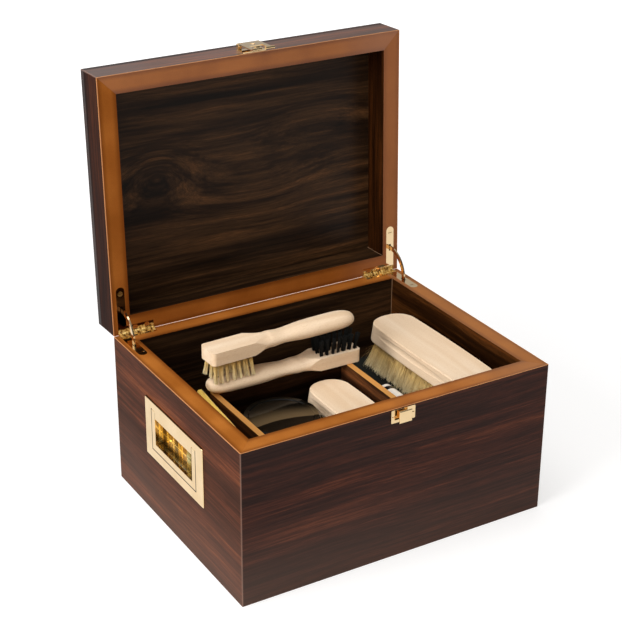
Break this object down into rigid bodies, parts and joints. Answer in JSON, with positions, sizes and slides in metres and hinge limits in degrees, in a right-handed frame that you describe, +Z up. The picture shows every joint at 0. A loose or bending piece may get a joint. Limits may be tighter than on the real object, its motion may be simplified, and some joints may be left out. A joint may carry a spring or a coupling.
{
  "type": "shoe shine box",
  "caption": "Wooden shoe shine box with a lid on brass stay hinges, a front latch, flush side handles, and brushes, tins and cloths in three compartments.",
  "frame": {"origin": "centre of the underside of the case", "axes": "+X to the right seen from the front, +Y to the back where the hinges are, +Z up"},
  "size_m": [0.343, 0.3182, 0.4376],
  "materials": {
    "veneer": "satin rosewood-coloured veneer, tan burnished rims",
    "inside_wood": "dark walnut veneer, tan top edges",
    "brass": "polished",
    "beech": "sanded bare",
    "blond_bristle": "natural hair",
    "black_bristle": "natural hair",
    "tin": "gloss lacquer",
    "polish": "wax paste",
    "bottle": "gloss",
    "dark_cloth": "brushed cotton",
    "yellow_cloth": "brushed cotton duster"
  },
  "bodies": {
    "case": {"front_panel": "veneer", "back_panel": "veneer", "left_panel": "veneer", "right_panel": "veneer", "base_panel": "veneer", "floor_bearers": "inside_wood", "inner_floor": "inside_wood", "divider_left": "inside_wood", "divider_right": "inside_wood", "divider_cross": "inside_wood", "hinge_leaf_body_left": "brass", "hinge_leaf_body_right": "brass", "hinge_screws_body": "brass", "catch_plate": "brass", "catch_screws": "brass", "handle_frame_left": "brass", "handle_frame_right": "brass", "handle_cup_left": "brass", "handle_cup_right": "brass", "bail_pins": "brass"},
    "lid": {"lid_front_rail": "veneer", "lid_back_rail": "veneer", "lid_left_rail": "veneer", "lid_right_rail": "veneer", "lid_top_panel": "veneer", "hinge_leaf_lid_left": "brass", "hinge_leaf_lid_right": "brass", "hinge_pins": "brass", "hinge_screws_lid": "brass", "latch_plate": "brass", "latch_screws": "brass", "latch_pin": "brass"},
    "stay_left": {"stay_left": "brass"},
    "stay_right": {"stay_right": "brass"},
    "latch_flap": {"latch_flap": "brass"},
    "bail_left": {"bail_left": "brass"},
    "bail_right": {"bail_right": "brass"},
    "lower_applicator": {"lower_applicator_handle": "beech", "lower_applicator_bristles": "black_bristle"},
    "upper_applicator": {"upper_applicator_handle": "beech", "upper_applicator_bristles": "blond_bristle"},
    "dark_cloth": {"dark_cloth": "dark_cloth"},
    "polishing_brush": {"polishing_brush_back": "beech", "polishing_brush_bristles": "blond_bristle"},
    "bottle": {"bottle_body": "bottle", "bottle_cap": "bottle"},
    "small_brush": {"small_brush_back": "beech", "small_brush_bristles": "blond_bristle"},
    "lower_tin": {"lower_tin_base": "tin", "lower_tin_polish": "polish"},
    "lower_tin_lid": {"lower_tin_lid": "tin"},
    "upper_tin": {"upper_tin_base": "tin", "upper_tin_polish": "polish"},
    "upper_tin_lid": {"upper_tin_lid": "tin"},
    "yellow_cloth": {"yellow_cloth": "yellow_cloth"}
  },
  "joints": [
    {"name": "lid_hinge", "type": "hinge", "parent": "case", "child": "lid", "pos_m": [0, 0.13307, 0.16207], "axis": [-1, 0, 0], "range_deg": [-92, 0]},
    {"name": "stay_left_swing", "type": "hinge", "parent": "case", "child": "stay_left", "pos_m": [-0.16, 0.13307, 0.16207], "axis": [-1, 0, 0], "range_deg": [-46, 0]},
    {"name": "stay_right_swing", "type": "hinge", "parent": "case", "child": "stay_right", "pos_m": [0.16, 0.13307, 0.16207], "axis": [-1, 0, 0], "range_deg": [-46, 0]},
    {"name": "latch_hinge", "type": "hinge", "parent": "lid", "child": "latch_flap", "pos_m": [0, 0.15786, 0.43264], "axis": [-1, 0, 0], "range_deg": [-7, 95]},
    {"name": "bail_left_hinge", "type": "hinge", "parent": "case", "child": "bail_left", "pos_m": [-0.17, 0, 0.1205], "axis": [0, 1, 0], "range_deg": [0, 90]},
    {"name": "bail_right_hinge", "type": "hinge", "parent": "case", "child": "bail_right", "pos_m": [0.17, 0, 0.1205], "axis": [0, -1, 0], "range_deg": [0, 90]},
    {"name": "lower_applicator_lift", "type": "slide", "parent": "case", "child": "lower_applicator", "axis": [0, 0, 1], "range_m": [0, 0.045]},
    {"name": "upper_applicator_lift", "type": "slide", "parent": "lower_applicator", "child": "upper_applicator", "axis": [0, 0, 1], "range_m": [0, 0.04]},
    {"name": "dark_cloth_lift", "type": "slide", "parent": "case", "child": "dark_cloth", "axis": [0, 0, 1], "range_m": [0, 0.085]},
    {"name": "polishing_brush_lift", "type": "slide", "parent": "dark_cloth", "child": "polishing_brush", "axis": [0, 0, 1], "range_m": [0, 0.07]},
    {"name": "bottle_lift", "type": "slide", "parent": "dark_cloth", "child": "bottle", "axis": [0, 0, 1], "range_m": [0, 0.07]},
    {"name": "small_brush_lift", "type": "slide", "parent": "case", "child": "small_brush", "axis": [0, 0, 1], "range_m": [0, 0.085]},
    {"name": "lower_tin_lift", "type": "slide", "parent": "case", "child": "lower_tin", "axis": [0, 0, 1], "range_m": [0, 0.085]},
    {"name": "lower_tin_lid_lift", "type": "slide", "parent": "lower_tin", "child": "lower_tin_lid", "axis": [0, 0, 1], "range_m": [0, 0.012]},
    {"name": "upper_tin_lift", "type": "slide", "parent": "lower_tin_lid", "child": "upper_tin", "axis": [0, 0, 1], "range_m": [0, 0.06]},
    {"name": "upper_tin_lid_lift", "type": "slide", "parent": "upper_tin", "child": "upper_tin_lid", "axis": [0, 0, 1], "range_m": [0, 0.012]},
    {"name": "yellow_cloth_lift", "type": "slide", "parent": "case", "child": "yellow_cloth", "axis": [0, 0, 1], "range_m": [0, 0.085]}
  ],
  "couplings": [
    {"joint": "stay_left_swing", "follows": "lid_hinge", "ratio": 0.5},
    {"joint": "stay_right_swing", "follows": "lid_hinge", "ratio": 0.5}
  ]
}
